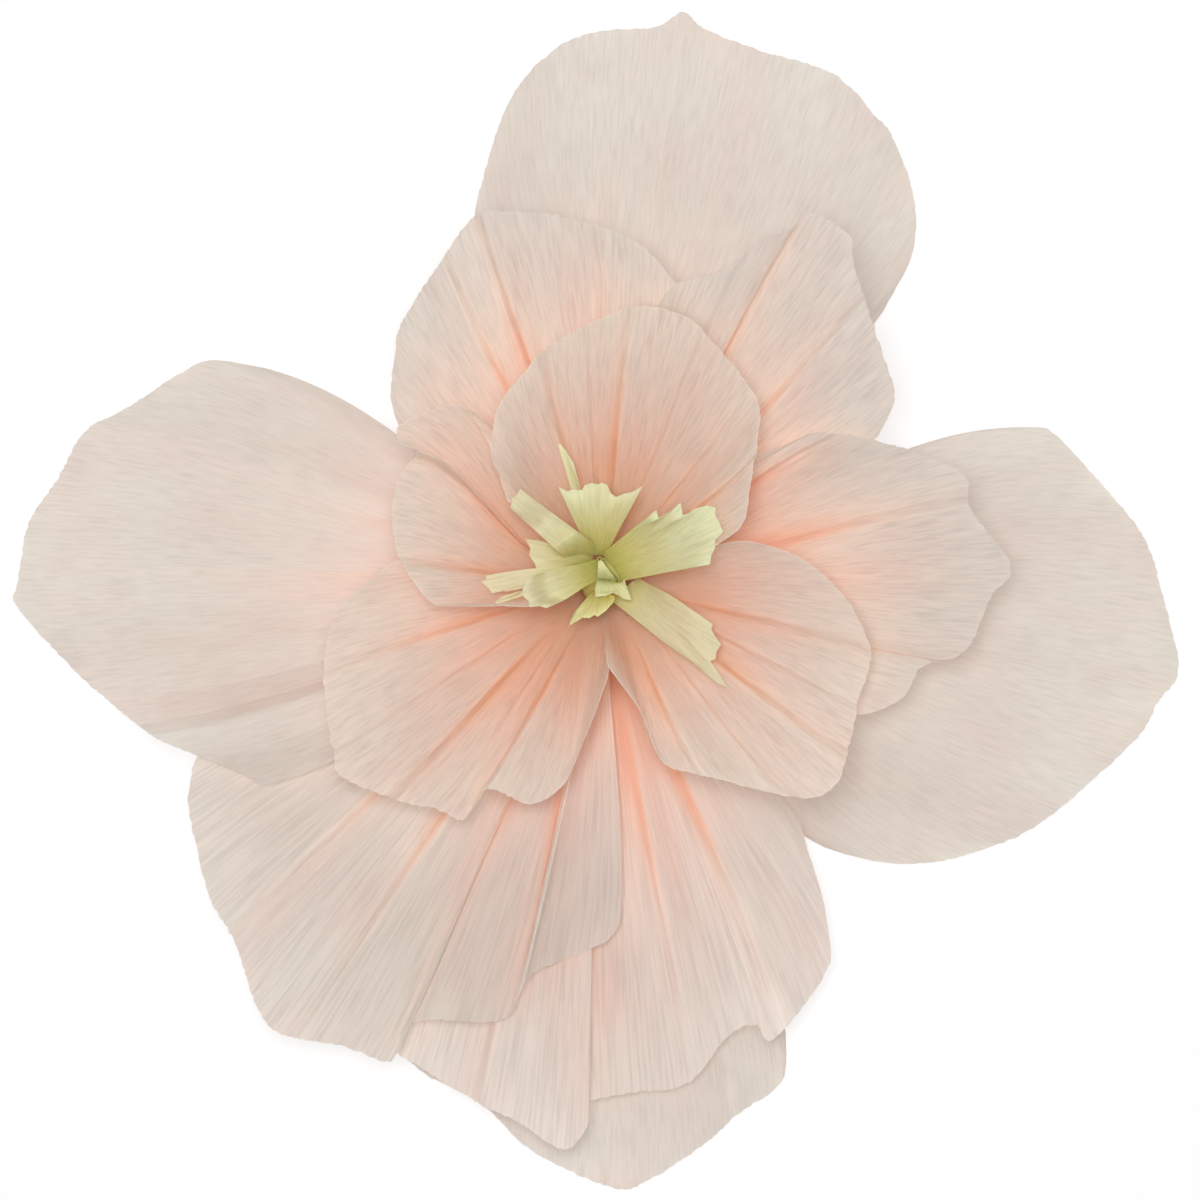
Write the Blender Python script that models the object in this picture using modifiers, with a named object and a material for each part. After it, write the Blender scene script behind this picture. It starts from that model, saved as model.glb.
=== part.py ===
# Crepe paper peony: thirteen petals and a comb-cut stamen strip, bound by wire and paper tape.
# Metres, +Z up. The flower lies face up on its flat tape base. Sizes below are in millimetres.
import math

import bpy
import numpy as np
from mathutils import Vector
from mathutils.bvhtree import BVHTree

MM = 0.001

# Driving dimensions
FLOWER_SPAN = 294.0
PAPER = 0.35
ROLL_R = 4.2
LAYER_PITCH = 0.75
PETAL_COUNT = 13
NECK_TOP = 18.0
BASE_PLATE = 1.2
REST_GAP = 0.3
BEND = 4.0
FLOOR_GAP = 0.4
SHEET_GAP = 2.0

# Derived sizes
NECK_R = ROLL_R + PETAL_COUNT * LAYER_PITCH
ARC_R = NECK_R + BEND
TAIL_Z = BASE_PLATE + REST_GAP
TAPE_IN = NECK_R + PAPER / 2 + REST_GAP

# Plan outline points of each petal, clockwise from above, in mm from the axis of a 294 mm flower.
OUTLINE_SPAN = 294.0
GROW = FLOWER_SPAN / OUTLINE_SPAN
OUTER_TOP = [(-37, 70), (-33, 90), (-31, 100), (-24, 121), (-13, 134), (-1, 139), (13, 140), (20, 144),
             (25, 140), (37, 135), (58, 128), (68, 118), (73, 112), (78, 98), (78, 83), (71, 70),
             (67, 63), (61, 45)]
OUTER_RIGHT = [(110, 39), (114, 37), (129, 21), (137, 10), (141, -4), (145, -22), (140, -30),
               (133, -41), (111, -60), (100, -66), (87, -70), (73, -71), (56, -67), (48, -62)]
OUTER_BOTTOM = [(46, -114), (45, -126), (34, -134), (25, -142), (11, -151), (3, -153), (-12, -147),
                (-20, -142), (-32, -131), (-44, -125), (-52, -118), (-56, -112)]
OUTER_LEFT = [(-85, -51), (-92, -47), (-112, -39), (-125, -30), (-135, -21), (-148, -6), (-148, -1),
              (-145, 15), (-138, 26), (-131, 38), (-122, 43), (-108, 52), (-99, 56), (-86, 54)]
FRONT_FAN = [(57, -93), (56, -97), (51, -105), (42, -115), (38, -111), (31, -114), (24, -123),
             (18, -127), (8, -128), (-5, -131), (-4, -136), (-9, -142), (-15, -140), (-22, -135),
             (-31, -131), (-52, -118), (-55, -114)]
LEFT_FAN = [(4, -85), (0, -90), (-12, -95), (-18, -98), (-22, -105), (-23, -108), (-29, -110),
            (-48, -110), (-52, -118), (-55, -120), (-66, -116), (-81, -113), (-87, -106), (-92, -91),
            (-99, -78), (-103, -62), (-104, -54), (-102, -44), (-97, -39)]
UPPER_LEFT = [(-51, 39), (-53, 46), (-52, 57), (-50, 65), (-41, 79), (-33, 90), (-26, 92), (-11, 91),
              (3, 87), (11, 82), (18, 74), (24, 68)]
UPPER_RIGHT = [(13, 68), (18, 74), (30, 77), (38, 84), (47, 88), (51, 92), (61, 86), (62, 79),
               (67, 63), (72, 48), (71, 42), (68, 36)]
MIDDLE_RIGHT = [(39, 32), (45, 34), (53, 37), (68, 35), (89, 27), (91, 18), (101, 4), (96, -4),
                (90, -17), (79, -21), (75, -28), (68, -32), (63, -33)]
INNER_LOWER_LEFT = [(1, -24), (-3, -34), (-7, -44), (-11, -51), (-18, -55), (-28, -51), (-32, -54),
                    (-35, -59), (-42, -56), (-51, -54), (-65, -48), (-67, -42), (-69, -29), (-69, -19),
                    (-67, -9), (-62, -3), (-52, 5)]
INNER_LOWER_RIGHT = [(35, 10), (44, 8), (51, 4), (59, -3), (64, -12), (66, -19), (63, -29), (61, -39),
                     (58, -49), (53, -53), (46, -53), (36, -51), (29, -49), (21, -47), (14, -44),
                     (9, -32), (1, -21)]
INNER_LEFT = [(-18, -6), (-36, -6), (-43, -5), (-50, 5), (-52, 12), (-52, 20), (-50, 27), (-46, 32),
              (-50, 34), (-51, 38), (-43, 42), (-35, 43), (-29, 35), (-24, 20)]
INNER_TOP = [(-27, 29), (-28, 34), (-26, 43), (-21, 50), (-15, 57), (-5, 63), (4, 67), (11, 68),
             (21, 65), (26, 60), (33, 52), (38, 44), (38, 35), (36, 23), (34, 14), (28, 9)]

# Each fold is (place along the edge 0 to 1, depth mm, width along the edge 0 to 1, side of its drop).
# launch and tip are slopes in degrees, spread is 1 for a radial grain and 0 for a parallel one,
# height and wave are the rim's height and its waves in mm, and tips are corners of the outline.
PETALS = [
    dict(name="outer_petal_top", edge=OUTER_TOP, tips=[0.19, 0.44],
         launch=30, tip=-22, height=1.5, spread=0.75, wave=2.6, waves=3.5, phase=0.4,
         folds=[(0.345, 2, 0.12, 1), (0.52, 2, 0.11, -1), (0.70, 2, 0.12, 1)]),
    dict(name="outer_petal_right", edge=OUTER_RIGHT, tips=[0.38, 0.92],
         launch=31, tip=-20, height=1.5, spread=0.35, wave=2.6, waves=3.2, phase=1.9,
         folds=[(0.21, 2, 0.12, 1), (0.46, 2, 0.12, -1), (0.70, 2, 0.12, 1)]),
    dict(name="outer_petal_bottom", edge=OUTER_BOTTOM, tips=[0.04, 0.46],
         launch=32, tip=-22, height=1.5, spread=0.5, wave=2.2, waves=2.6, phase=3.1,
         folds=[(0.19, 2.5, 0.10, 1), (0.65, 2.5, 0.10, -1)]),
    dict(name="middle_petal_front", edge=FRONT_FAN, tips=[0.395],
         launch=33, tip=-14, height=19, spread=0.8, wave=1.5, waves=3.0, phase=0.9,
         folds=[(0.18, 6, 0.10, -1), (0.36, 4, 0.09, 1), (0.575, 8, 0.13, -1), (0.80, 5, 0.10, 1)]),
    dict(name="middle_petal_fan", edge=LEFT_FAN, tips=[0.24, 0.62],
         launch=34, tip=-10, height=27, spread=0.8, wave=1.6, waves=3.0, phase=2.2,
         folds=[(0.19, 7, 0.09, 1), (0.36, 5, 0.09, -1), (0.53, 4, 0.09, 1), (0.72, 4, 0.10, -1)]),
    dict(name="outer_petal_left", edge=OUTER_LEFT, tips=[0.455],
         launch=36, tip=-24, height=1.5, spread=0.45, wave=2.6, waves=3.3, phase=5.0,
         folds=[(0.20, 2.2, 0.12, -1), (0.46, 3, 0.12, 1), (0.72, 2, 0.12, -1)]),
    dict(name="middle_petal_upper_left", edge=UPPER_LEFT, tips=[0.56],
         launch=40, tip=14, height=49, spread=0.6, wave=1.6, waves=2.4, phase=1.2,
         folds=[(0.36, 3, 0.12, 1), (0.49, 4, 0.08, -1), (0.70, 2.5, 0.12, 1)]),
    dict(name="middle_petal_upper_right", edge=UPPER_RIGHT, tips=[0.43],
         launch=41, tip=16, height=51, spread=0.6, wave=1.6, waves=2.2, phase=4.2,
         folds=[(0.36, 4, 0.12, 1), (0.68, 3, 0.12, -1)]),
    dict(name="middle_petal_right", edge=MIDDLE_RIGHT, tips=[0.58],
         launch=42, tip=10, height=49, spread=0.7, wave=1.6, waves=2.4, phase=0.3,
         folds=[(0.13, 3.5, 0.10, 1), (0.45, 3, 0.12, -1), (0.80, 3, 0.10, 1)]),
    dict(name="inner_petal_lower_left", edge=INNER_LOWER_LEFT, tips=[0.4],
         launch=46, tip=26, height=62, spread=0.7, wave=1.0, waves=2.6, phase=2.6,
         folds=[(0.32, 6, 0.11, 1), (0.53, 5, 0.10, -1), (0.76, 3, 0.10, 1)]),
    dict(name="inner_petal_lower_right", edge=INNER_LOWER_RIGHT, tips=[0.6],
         launch=48, tip=28, height=64, spread=0.7, wave=1.0, waves=2.4, phase=5.3,
         folds=[(0.28, 3, 0.10, 1), (0.48, 5, 0.10, -1), (0.74, 4, 0.10, 1)]),
    dict(name="inner_petal_left", edge=INNER_LEFT, tips=[0.65],
         launch=50, tip=34, height=66, spread=0.7, wave=1.0, waves=2.2, phase=3.7,
         folds=[(0.30, 4, 0.10, 1), (0.565, 5, 0.11, -1)]),
    dict(name="inner_petal_top", edge=INNER_TOP, tips=[0.52],
         launch=52, tip=38, height=69, spread=0.75, wave=1.0, waves=2.5, phase=0.0,
         folds=[(0.22, 3, 0.10, 1), (0.42, 4, 0.10, -1), (0.80, 5, 0.10, 1)]),
]

# Rows of a petal: 0 to 1 is the bound tail, 1 to 2 the bend out of the neck, 2 to 3 the open sheet.
ROWS = [0, 1, 1.5, 2, 2.14, 2.34, 2.54, 2.74, 2.9, 3]
EVEN_COLUMNS = 13

# Stamen tabs, lowest first: (direction deg, reach mm, root width, tip width, tip height mm).
TABS = [
    (-66, 15, 2.6, 5.0, 47),
    (-114, 16, 2.8, 6.0, 47),
    (168, 28, 2.4, 4.5, 50),
    (113, 36, 1.8, 3.0, 54),
    (-12, 24, 2.6, 5.0, 51),
    (192, 29, 3.0, 8.0, 53),
    (-36, 34, 3.4, 13.0, 56),
    (144, 27, 3.0, 6.5, 56),
    (86, 24, 3.4, 18.0, 57),
    (24, 29, 3.6, 14.0, 58),
]
ROLL_TOP = 36.0
TAB_SINK = 5.0
TAB_START = 3.2
TAB_GAP = 1.9
TAB_PAPER = 0.5


def smooth(x):
    x = np.clip(x, 0.0, 1.0)
    return x * x * (3.0 - 2.0 * x)


def edge_curve(points, at):
    """Places at fractions of the length of a rounded curve through the outline points."""
    p = np.array([points[0]] + points + [points[-1]], float)
    t = np.linspace(0, 1, 12, endpoint=False)[:, None]
    runs = []
    for a, b, c, d in zip(p[:-3], p[1:-2], p[2:-1], p[3:]):
        runs.append(b + 0.5 * t * (c - a) + t**2 * (a - 2.5 * b + 2 * c - 0.5 * d)
                    + t**3 * (1.5 * (b - c) + 0.5 * (d - a)))
    curve = np.vstack(runs + [p[-1:]])
    length = np.r_[0, np.cumsum(np.hypot(*np.diff(curve, axis=0).T))]
    at = np.asarray(at) * length[-1]
    return np.c_[np.interp(at, length, curve[:, 0]), np.interp(at, length, curve[:, 1])]


def fold_height(petal, u):
    """Height of the folds across the petal: each climbs slowly to its crest, then drops away."""
    height = np.zeros_like(u)
    for place, depth, width, side in petal["folds"]:
        x = (u - place) * side
        drop = 0.22 * width
        height += depth * np.where(x < 0, smooth(1 + x / width), 1 - 1.25 * smooth(x / drop))
        height += depth * 0.25 * smooth((x - drop) / width) * (x >= drop)
    return height


def petal_surface(petal, layer, u, rows):
    """Points of the paper's middle surface, as an array of columns by rows by xyz, in mm."""
    edge = edge_curve(petal["edge"], u) * GROW
    first, last = edge_curve(petal["edge"], [0, 1])
    start = math.atan2(first[1], first[0])
    sweep = (start - math.atan2(last[1], last[0])) % (2 * math.pi)
    angle = start - sweep * u
    ray = np.c_[np.cos(angle), np.sin(angle)]
    middle = np.array([math.cos(start - sweep / 2), math.sin(start - sweep / 2)])
    grain = petal["spread"] * ray + (1 - petal["spread"]) * middle
    grain /= np.linalg.norm(grain, axis=1)[:, None]

    neck = NECK_R - layer * LAYER_PITCH
    bend = ARC_R - neck
    launch = math.radians(petal["launch"])
    turn = math.pi / 2 - launch
    start_r = ARC_R - bend * math.cos(turn)
    start_z = NECK_TOP + bend * math.sin(turn)
    begin = ray * start_r
    reach = np.linalg.norm(edge - begin, axis=1)
    ripple = np.sin(2 * math.pi * petal["waves"] * u + petal["phase"])
    rim = GROW * (petal["height"] + petal["wave"] * ripple)
    folds = GROW * fold_height(petal, u)

    points = np.zeros((len(u), len(rows), 3))
    for j, row in enumerate(rows):
        if row <= 1:
            points[:, j, :2] = ray * neck
            points[:, j, 2] = TAIL_Z + row * (NECK_TOP - TAIL_Z)
        elif row <= 2:
            part = turn * (row - 1)
            points[:, j, :2] = ray * (ARC_R - bend * math.cos(part))
            points[:, j, 2] = NECK_TOP + bend * math.sin(part)
        else:
            t = row - 2
            out = ((1 - t)**3 * begin + 3 * (1 - t)**2 * t * (begin + ray * reach[:, None] / 3)
                   + 3 * (1 - t) * t**2 * (edge - grain * reach[:, None] / 3) + t**3 * edge)
            rise = math.tan(launch) * reach
            fall = math.tan(math.radians(petal["tip"])) * reach
            z = (start_z * (1 + 2 * t) * (1 - t)**2 + rise * t * (1 - t)**2
                 + rim * t * t * (3 - 2 * t) - fall * t * t * (1 - t))
            points[:, j, :2] = out
            points[:, j, 2] = z + folds * smooth((t - 0.05) / 0.75)
    return points


def columns_of(petal, even):
    """Even columns, with more at every tip of the outline and at each fold's crest and foot."""
    wanted = list(np.linspace(0, 1, even))
    for tip in petal["tips"]:
        wanted = [w for w in wanted if abs(w - tip) > 0.03 or w in (0, 1)] + [tip]
    for place, depth, width, side in petal["folds"]:
        fixed = [place, place + side * 0.22 * width]
        wanted = [w for w in wanted if min(abs(w - f) for f in fixed) > 0.018 or w in (0, 1)] + fixed
    return np.array(sorted(wanted))


def faces_of(columns, rows):
    quads = []
    for i in range(columns - 1):
        for j in range(rows - 1):
            a = i * rows + j
            quads.append((a, a + rows, a + rows + 1, a + 1))
    return quads


class Sheets:
    """The sheets laid so far, as one tree to cast rays at and as closely spaced points."""

    def __init__(self):
        self.corners = []
        self.faces = []
        self.spots = []
        self.tree = None

    def add(self, points, first_row):
        start = len(self.corners)
        self.corners += [tuple(p) for p in points.reshape(-1, 3)]
        self.faces += [tuple(c + start for c in face) for face in faces_of(*points.shape[:2])]
        self.spots += [spot for spot, _ in spots_of(points, first_row)]
        self.tree = BVHTree.FromPolygons(self.corners, self.faces)

    def top_at(self, x, y):
        hit = self.tree.ray_cast(Vector((x, y, 300)), Vector((0, 0, -1)))[0] if self.tree else None
        return None if hit is None else hit.z


def spots_of(points, first_row):
    """Points spread over each quad from first_row outwards, each with the quad's own place."""
    spots = []
    for i in range(points.shape[0] - 1):
        for j in range(first_row, points.shape[1] - 1):
            for s in (0, 0.33, 0.67, 1):
                for t in (0, 0.33, 0.67, 1):
                    near = points[i, j] * (1 - s) + points[i + 1, j] * s
                    far = points[i, j + 1] * (1 - s) + points[i + 1, j + 1] * s
                    spots.append((near * (1 - t) + far * t, (i, j)))
    return spots


def needed_lift(points, sheets, keep, first_row):
    """How far each vertex must rise to lie clear of the sheets below it."""
    need = np.zeros(points.shape[:2])
    count = points.shape[1]
    for (x, y, z), (i, j) in spots_of(points, first_row):
        top = sheets.top_at(x, y)
        if top is not None and top + keep[j] > z:
            short = top + keep[j] - z
            need[i:i + 2, j:j + 2] = np.maximum(need[i:i + 2, j:j + 2], short)
    faces = faces_of(*points.shape[:2])
    own = BVHTree.FromPolygons([tuple(p) for p in points.reshape(-1, 3)], faces)
    for x, y, z in sheets.spots:
        hit, _, index, _ = own.ray_cast(Vector((x, y, 300)), Vector((0, 0, -1)))
        if hit is None:
            continue
        i, j = divmod(faces[index][0], count)
        short = z + keep[j] - hit.z
        if j >= first_row and short > 0:
            need[i:i + 2, j:j + 2] = np.maximum(need[i:i + 2, j:j + 2], short)
    return need


def lift_clear(points, sheets, keep, weight, first_row):
    """Raises a sheet where it would touch the ones below, with the lift shared by its neighbours."""
    for _ in range(5):
        need = needed_lift(points, sheets, keep, first_row)
        if need.max() < 0.01:
            break
        for _ in range(3):
            wide = np.pad(need, 1, mode="edge")
            near = (wide[:-2, 1:-1] + wide[2:, 1:-1] + wide[1:-1, :-2] + wide[1:-1, 2:]) / 4
            need = np.maximum(need, near)
        points[:, :, 2] += need * weight
    return points


def clear_scene():
    for obj in list(bpy.data.objects):
        bpy.data.objects.remove(obj, do_unlink=True)


def new_collection(name):
    collection = bpy.data.collections.new(name)
    bpy.context.scene.collection.children.link(collection)
    return collection


def paper_material(name, colour):
    material = bpy.data.materials.new(name)
    material.use_nodes = True
    shader = material.node_tree.nodes["Principled BSDF"]
    shader.inputs["Base Color"].default_value = (*colour, 1)
    shader.inputs["Roughness"].default_value = 0.9
    return material


def put_in(obj, collection):
    for old in list(obj.users_collection):
        old.objects.unlink(obj)
    collection.objects.link(obj)


def sheet_object(name, points, collection, material, thickness):
    """A grid primitive whose vertices take the sheet's points, given its thickness by Solidify."""
    columns, rows = points.shape[:2]
    bpy.ops.mesh.primitive_grid_add(x_subdivisions=columns - 1, y_subdivisions=rows - 1, size=2)
    obj = bpy.context.active_object
    obj.name = obj.data.name = name
    for vertex in obj.data.vertices:
        i = round((vertex.co.x + 1) / 2 * (columns - 1))
        j = round((vertex.co.y + 1) / 2 * (rows - 1))
        vertex.co = Vector(points[i, j] * MM)
    solid = obj.modifiers.new("Paper", "SOLIDIFY")
    solid.thickness = thickness * MM
    solid.offset = 0
    solid.use_even_offset = False
    obj.data.materials.append(material)
    put_in(obj, collection)
    return obj


def make_petals(collection):
    sheets = Sheets()
    open_part = np.array(ROWS) - 2
    keep = SHEET_GAP * (0.45 + 0.55 * smooth(open_part / 0.3))
    weight = smooth(open_part / 0.14)
    first_row = sum(row < 2 for row in ROWS)
    for layer, petal in enumerate(PETALS):
        u = columns_of(petal, EVEN_COLUMNS)
        points = petal_surface(petal, layer, u, ROWS)
        points = lift_clear(points, sheets, keep, weight, first_row)
        points[:, first_row + 1:, 2] = np.maximum(points[:, first_row + 1:, 2], FLOOR_GAP)
        sheets.add(points, first_row)
        material = paper_material(petal["name"] + "_paper", (0.70, 0.58, 0.52))
        sheet_object(petal["name"], points, collection, material, PAPER)
    return sheets


def tab_points(direction, reach, root, tip, height):
    """A tab of the stamen strip: up inside the roll, then bent out to its tip."""
    steps = [0, 0.2, 0.4, 0.6, 0.8, 1]
    way = np.array([math.cos(math.radians(direction)), math.sin(math.radians(direction))])
    side = np.array([way[1], -way[0]])
    points = np.zeros((4, len(steps), 3))
    for j, t in enumerate(steps):
        out = TAB_START + (reach * GROW - TAB_START) * t**1.4
        z = ROLL_TOP - TAB_SINK + (height * GROW - ROLL_TOP + TAB_SINK) * math.sin(t * math.pi / 2)
        width = root + (tip * GROW - root) * smooth((t - 0.2) / 0.7)
        for i, across in enumerate((-0.5, -0.17, 0.17, 0.5)):
            points[i, j, :2] = way * out + side * across * width
            points[i, j, 2] = z + 0.6 * math.cos(across * 9) * t
    return points


def make_stamens(collection, helpers, sheets):
    """One rolled strip whose comb-cut top edge splays out as ragged tabs."""
    bpy.ops.mesh.primitive_cylinder_add(vertices=20, radius=ROLL_R * MM,
                                        depth=(ROLL_TOP - TAIL_Z) * MM,
                                        location=(0, 0, (ROLL_TOP + TAIL_Z) / 2 * MM))
    roll = bpy.context.active_object
    roll.name = roll.data.name = "stamen_fringe"
    roll.data.materials.append(paper_material("stamen_paper", (0.62, 0.56, 0.28)))
    put_in(roll, collection)
    for number, tab in enumerate(TABS):
        points = tab_points(*tab)
        keep = np.full(points.shape[1], TAB_GAP)
        points = lift_clear(points, sheets, keep, smooth(np.linspace(0, 2.5, points.shape[1])), 2)
        sheets.add(points, 2)
        obj = sheet_object(f"tab_{number}", points, helpers, roll.data.materials[0], TAB_PAPER)
        obj.hide_render = True
        obj.display_type = "WIRE"
        join = roll.modifiers.new(f"Tab {number}", "BOOLEAN")
        join.operation = "UNION"
        join.solver = "EXACT"
        join.object = obj
    return roll


# Binding wire and tape
WIRE_R = 0.4
WIRE_TURNS = 3
WIRE_PITCH = 1.2
WIRE_Z = 8.0
TAPE_WALL = 0.9
TAPE_TOP = 16.5
BULGE_REACH = 1.4
BULGE_SLOPE = 0.7
BASE_CORNER = 1.0


def make_wire(collection):
    radius = TAPE_IN + WIRE_R
    steps = 16
    curve = bpy.data.curves.new("binding_wire", "CURVE")
    curve.dimensions = "3D"
    curve.bevel_depth = WIRE_R * MM
    curve.bevel_resolution = 1
    curve.use_fill_caps = True
    line = curve.splines.new("POLY")
    count = WIRE_TURNS * steps + 1
    line.points.add(count - 1)
    for k in range(count):
        turn = 2 * math.pi * k / steps
        line.points[k].co = (radius * math.cos(turn) * MM, radius * math.sin(turn) * MM,
                             (WIRE_Z + WIRE_PITCH * k / steps) * MM, 1)
    obj = bpy.data.objects.new("binding_wire", curve)
    material = paper_material("binding_wire_metal", (0.35, 0.34, 0.32))
    curve.materials.append(material)
    collection.objects.link(obj)


def make_tape(collection):
    """The tape wound over the neck and closed under it, bulging over the wire."""
    bulge = TAPE_IN + 2 * WIRE_R + REST_GAP
    outer = TAPE_IN + TAPE_WALL
    low = WIRE_Z - BULGE_REACH
    high = WIRE_Z + WIRE_TURNS * WIRE_PITCH + BULGE_REACH
    profile = [(0, BASE_PLATE), (TAPE_IN, BASE_PLATE), (TAPE_IN, low), (bulge, low + BULGE_SLOPE),
               (bulge, high - BULGE_SLOPE), (TAPE_IN, high), (TAPE_IN, TAPE_TOP), (outer, TAPE_TOP),
               (outer, high), (bulge + TAPE_WALL, high - BULGE_SLOPE),
               (bulge + TAPE_WALL, low + BULGE_SLOPE), (outer, low), (outer, BASE_CORNER),
               (outer - BASE_CORNER, 0), (0, 0)]
    mesh = bpy.data.meshes.new("tape_wrap")
    mesh.from_pydata([(x * MM, 0, z * MM) for x, z in profile],
                     [(k, k + 1) for k in range(len(profile) - 1)], [])
    obj = bpy.data.objects.new("tape_wrap", mesh)
    turned = obj.modifiers.new("Turned", "SCREW")
    turned.steps = turned.render_steps = 28
    turned.use_merge_vertices = True
    turned.merge_threshold = 0.00005
    mesh.materials.append(paper_material("tape_paper", (0.55, 0.60, 0.38)))
    collection.objects.link(obj)


clear_scene()
PEONY = new_collection("crepe_paper_peony")
HELPERS = new_collection("stamen_tabs")
HELPERS.hide_render = True
make_stamens(PEONY, HELPERS, make_petals(PEONY))
make_wire(PEONY)
make_tape(PEONY)
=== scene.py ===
# %% [markdown]
# # A crepe paper peony, seen from above
# Thirteen petals cut from crepe paper are gathered round a comb-cut strip of lime paper, then bound
# with wire and tape. The flower lies face up, so the camera looks straight down. The imported CAD flower
# is loaded first, and each finished piece hides the CAD part whose place it takes.

# %% Load the imported flower
import math
from itertools import product

import bpy
import numpy as np
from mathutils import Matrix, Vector
from mathutils.bvhtree import BVHTree


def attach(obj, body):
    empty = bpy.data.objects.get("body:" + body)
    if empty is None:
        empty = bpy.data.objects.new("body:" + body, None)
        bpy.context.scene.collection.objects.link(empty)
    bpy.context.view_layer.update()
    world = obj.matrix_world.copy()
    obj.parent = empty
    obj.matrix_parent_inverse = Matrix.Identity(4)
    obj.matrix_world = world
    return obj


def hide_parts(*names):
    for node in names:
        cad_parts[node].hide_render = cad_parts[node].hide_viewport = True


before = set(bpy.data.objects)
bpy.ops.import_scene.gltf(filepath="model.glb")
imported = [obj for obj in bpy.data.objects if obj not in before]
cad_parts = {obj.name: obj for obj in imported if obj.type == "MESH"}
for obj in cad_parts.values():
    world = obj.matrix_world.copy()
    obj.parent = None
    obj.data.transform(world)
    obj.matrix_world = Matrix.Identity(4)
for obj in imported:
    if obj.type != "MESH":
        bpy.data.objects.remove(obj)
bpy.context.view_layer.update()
MM = 0.001

# %% [markdown]
# ## Camera
# The photograph looks straight at the open flower with hardly any perspective, so a long lens hangs a
# few metres above. The view is 300 mm wide at the height of the petals, and the flower's axis lies
# 1 mm right and 4.5 mm above the middle of the picture.

# %% Camera straight above
VIEW_WIDTH = 300 * MM
CAMERA_HEIGHT = 3.0
VIEW_PLANE = 30 * MM
VIEW_CENTRE = (-1 * MM, -4.5 * MM)
SENSOR = 36.0

camera = bpy.data.objects.new("camera", bpy.data.cameras.new("camera"))
camera.data.sensor_width = SENSOR
camera.data.lens = SENSOR * CAMERA_HEIGHT / VIEW_WIDTH
camera.data.clip_end = 20
camera.location = (*VIEW_CENTRE, CAMERA_HEIGHT + VIEW_PLANE)
bpy.context.collection.objects.link(camera)
bpy.context.scene.camera = camera
print("lens mm:", camera.data.lens)

# %% [markdown]
# ## Soft studio light
# The picture is white all round, with hardly a shadow even deep between the petals. So the main lamp
# is large and hangs beside the camera, a little to the upper left, where it reaches into the folds.
# A weak white world fills in the rest. To the camera, and in mirrors and glass, it is plain white.

# %% World and lamp
WORLD_STRENGTH = 0.26
KEY_ENERGY = 79
KEY_SIZE = 0.9
KEY_PLACE = (-0.12, 0.15, 3.3)

bpy.context.scene.view_settings.view_transform = "Standard"
world = bpy.data.worlds.new("white_studio")
world.use_nodes = True
bpy.context.scene.world = world
sky = world.node_tree.nodes
sky.clear()
connect = world.node_tree.links.new
rays = sky.new("ShaderNodeLightPath").outputs
sees_white = rays["Is Camera Ray"]
for kind in ("Is Glossy Ray", "Is Transmission Ray"):
    either = sky.new("ShaderNodeMath")
    either.operation = "MAXIMUM"
    connect(sees_white, either.inputs[0])
    connect(rays[kind], either.inputs[1])
    sees_white = either.outputs[0]
shown = sky.new("ShaderNodeMixShader")
connect(sees_white, shown.inputs[0])
for strength, socket in ((WORLD_STRENGTH, shown.inputs[1]), (1.0, shown.inputs[2])):
    background = sky.new("ShaderNodeBackground")
    background.inputs["Color"].default_value = (1, 1, 1, 1)
    background.inputs["Strength"].default_value = strength
    connect(background.outputs[0], socket)
connect(shown.outputs[0], sky.new("ShaderNodeOutputWorld").inputs["Surface"])

lamp = bpy.data.objects.new("key_lamp", bpy.data.lights.new("key_lamp", "AREA"))
lamp.data.shape = "DISK"
lamp.data.size = KEY_SIZE
lamp.data.energy = KEY_ENERGY
lamp.location = KEY_PLACE
lamp.rotation_euler = (-Vector(KEY_PLACE)).to_track_quat("-Z", "Y").to_euler()
bpy.context.collection.objects.link(lamp)
print("lamp distance m:", round(Vector(KEY_PLACE).length, 2))

# %% [markdown]
# ## Writing shader maths as expressions
# A material is a graph of nodes. This small class wraps a socket, so that a sum of two patterns is
# written as a sum. Colours go through Mix nodes, because a Math node would turn them grey.

# %% Value and Finish
class Value:
    """A number in a material, so that maths on it reads as maths."""

    def __init__(self, finish, socket):
        self.finish = finish
        self.socket = socket

    def maths(self, operation, first, second):
        return self.finish.node("ShaderNodeMath", {"operation": operation}, {0: first, 1: second})

    def __add__(self, other):
        return self.maths("ADD", self, other)

    def __mul__(self, other):
        return self.maths("MULTIPLY", self, other)

    def __sub__(self, other):
        return self.maths("SUBTRACT", self, other)


class Finish:
    """One material being built."""

    def __init__(self, name):
        self.material = bpy.data.materials.new(name)
        self.material.use_nodes = True
        self.tree = self.material.node_tree
        self.tree.nodes.clear()

    def node(self, kind, settings=None, inputs=None, outlet=0):
        made = self.tree.nodes.new(kind)
        for name, setting in (settings or {}).items():
            if name == "stops":
                self.set_stops(made.color_ramp, setting)
            else:
                setattr(made, name, setting)
        for name, given in (inputs or {}).items():
            if isinstance(given, Value):
                self.tree.links.new(given.socket, made.inputs[name])
            else:
                made.inputs[name].default_value = given
        return Value(self, made.outputs[outlet])

    def set_stops(self, ramp, stops):
        while len(ramp.elements) < len(stops):
            ramp.elements.new(0.5)
        for element, (place, colour) in zip(ramp.elements, stops):
            element.position = place
            element.color = colour

    def multiply(self, share, low, high):
        """A colour times another, by a share. The sockets are the Mix node's colour ones."""
        settings = {"data_type": "RGBA", "blend_type": "MULTIPLY"}
        return self.node("ShaderNodeMix", settings, {0: share, 6: low, 7: high}, 2)

    def close(self, shader):
        output = self.tree.nodes.new("ShaderNodeOutputMaterial")
        self.tree.links.new(shader.socket, output.inputs["Surface"])
        return self.material


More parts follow.
